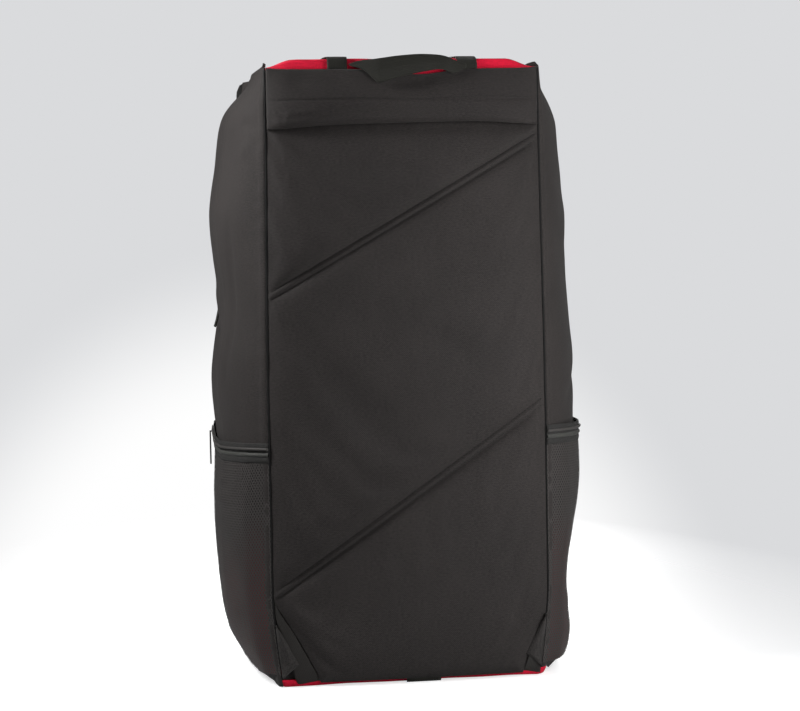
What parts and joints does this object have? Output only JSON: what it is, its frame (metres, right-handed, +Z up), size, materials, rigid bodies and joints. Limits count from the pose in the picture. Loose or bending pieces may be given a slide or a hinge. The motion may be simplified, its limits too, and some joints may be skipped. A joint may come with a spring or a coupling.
{
  "type": "ski boot bag",
  "caption": "Tall zipped travel bag that stands on end, with a padded quilted back, stowed shoulder straps, mesh side pockets and webbing handles",
  "frame": {"origin": "on the floor, under the middle of the standing bag's box", "axes": "+Z up, padded back panel faces -Y, zipped front lid faces +Y, +X is to the right of someone facing the back panel"},
  "size_m": [0.4772, 0.3878, 0.79],
  "materials": {
    "body_cloth": "coated woven polyester, black",
    "back_cloth": "plain woven polyester over foam, charcoal black, quilted",
    "binding": "rolled cloth binding",
    "strap_padding": "padded air mesh",
    "buckle_plastic": "moulded acetal",
    "webbing": "ribbed polypropylene webbing, olive black",
    "zip_metal": "black lacquered die-cast zinc",
    "mesh": "open hexagonal polyester mesh",
    "zip_tape": "woven zip tape with nylon coil",
    "pull_cord": "flat woven pull tape",
    "accent_cloth": "coated woven polyester, red",
    "stiffener": "polyethylene board",
    "foam": "closed-cell polyethylene foam"
  },
  "bodies": {
    "bag": {"back_foam": "foam", "back_panel": "back_cloth", "back_wall": "body_cloth", "base_board": "stiffener", "bottom_panel": "accent_cloth", "bottom_webbing": "webbing", "carry_tabs_left": "webbing", "carry_tabs_right": "webbing", "corner_gusset_left": "body_cloth", "corner_gusset_right": "body_cloth", "kick_panel": "body_cloth", "ladder_lock_left": "buckle_plastic", "ladder_lock_right": "buckle_plastic", "lower_strap_left": "webbing", "lower_strap_right": "webbing", "main_zip_body_half": "zip_tape", "mesh_pocket_left": "mesh", "mesh_pocket_right": "mesh", "piping_left": "binding", "piping_right": "binding", "pocket_zip_left": "zip_tape", "pocket_zip_right": "zip_tape", "shoulder_strap_left": "strap_padding", "shoulder_strap_right": "strap_padding", "side_panel_left": "body_cloth", "side_panel_right": "body_cloth", "top_panel": "accent_cloth", "top_webbing_left": "webbing", "top_webbing_right": "webbing", "upper_band": "back_cloth", "wing_tab_left": "body_cloth", "wing_tab_right": "body_cloth"},
    "carry_handle_left": {"carry_handle_left": "webbing"},
    "carry_handle_right": {"carry_handle_right": "webbing"},
    "lid": {"front_lid": "body_cloth", "main_zip_lid_half": "zip_tape"},
    "main_pull_left": {"main_pull_left": "zip_metal"},
    "main_pull_right": {"main_pull_right": "zip_metal"},
    "main_slider_left": {"main_slider_left": "zip_metal"},
    "main_slider_right": {"main_slider_right": "zip_metal"},
    "pocket_pull_left": {"pocket_pull_left": "pull_cord"},
    "pocket_pull_right": {"pocket_pull_right": "pull_cord"},
    "pocket_slider_left": {"pocket_slider_left": "zip_metal"},
    "pocket_slider_right": {"pocket_slider_right": "zip_metal"},
    "top_handle": {"top_handle": "webbing"}
  },
  "joints": [
    {"name": "lid_hinge", "type": "hinge", "parent": "bag", "child": "lid", "pos_m": [0, 0.1671, 0.06], "axis": [-1, 0, 0], "range_deg": [0, 90]},
    {"name": "top_handle_flop", "type": "hinge", "parent": "bag", "child": "top_handle", "pos_m": [0, -0.1807, 0.776], "axis": [1, 0, 0], "range_deg": [-70, 5]},
    {"name": "main_slider_left_travel", "type": "slide", "parent": "bag", "child": "main_slider_left", "axis": [0, 0, 1], "range_m": [-0.635, 0]},
    {"name": "main_pull_left_swing", "type": "hinge", "parent": "main_slider_left", "child": "main_pull_left", "pos_m": [-0.1803, 0.1764, 0.745], "axis": [1, 0, 0], "range_deg": [0, 150]},
    {"name": "pocket_slider_left_travel", "type": "slide", "parent": "bag", "child": "pocket_slider_left", "axis": [0, 1, 0], "range_m": [-0.14, 0]},
    {"name": "pocket_pull_left_swing", "type": "hinge", "parent": "pocket_slider_left", "child": "pocket_pull_left", "pos_m": [-0.23756, 0.0731, 0.3043], "axis": [0, 1, 0], "range_deg": [0, 150]},
    {"name": "carry_handle_left_swing", "type": "hinge", "parent": "bag", "child": "carry_handle_left", "pos_m": [-0.2145, 0.1319, 0.375], "axis": [0, 0, 1], "range_deg": [0, 90]},
    {"name": "main_slider_right_travel", "type": "slide", "parent": "bag", "child": "main_slider_right", "axis": [0, 0, 1], "range_m": [-0.635, 0]},
    {"name": "main_pull_right_swing", "type": "hinge", "parent": "main_slider_right", "child": "main_pull_right", "pos_m": [0.1803, 0.1764, 0.745], "axis": [1, 0, 0], "range_deg": [0, 150]},
    {"name": "pocket_slider_right_travel", "type": "slide", "parent": "bag", "child": "pocket_slider_right", "axis": [0, 1, 0], "range_m": [-0.14, 0]},
    {"name": "pocket_pull_right_swing", "type": "hinge", "parent": "pocket_slider_right", "child": "pocket_pull_right", "pos_m": [0.23756, 0.0731, 0.3043], "axis": [0, -1, 0], "range_deg": [0, 150]},
    {"name": "carry_handle_right_swing", "type": "hinge", "parent": "bag", "child": "carry_handle_right", "pos_m": [0.2145, 0.1319, 0.375], "axis": [0, 0, -1], "range_deg": [0, 90]}
  ]
}
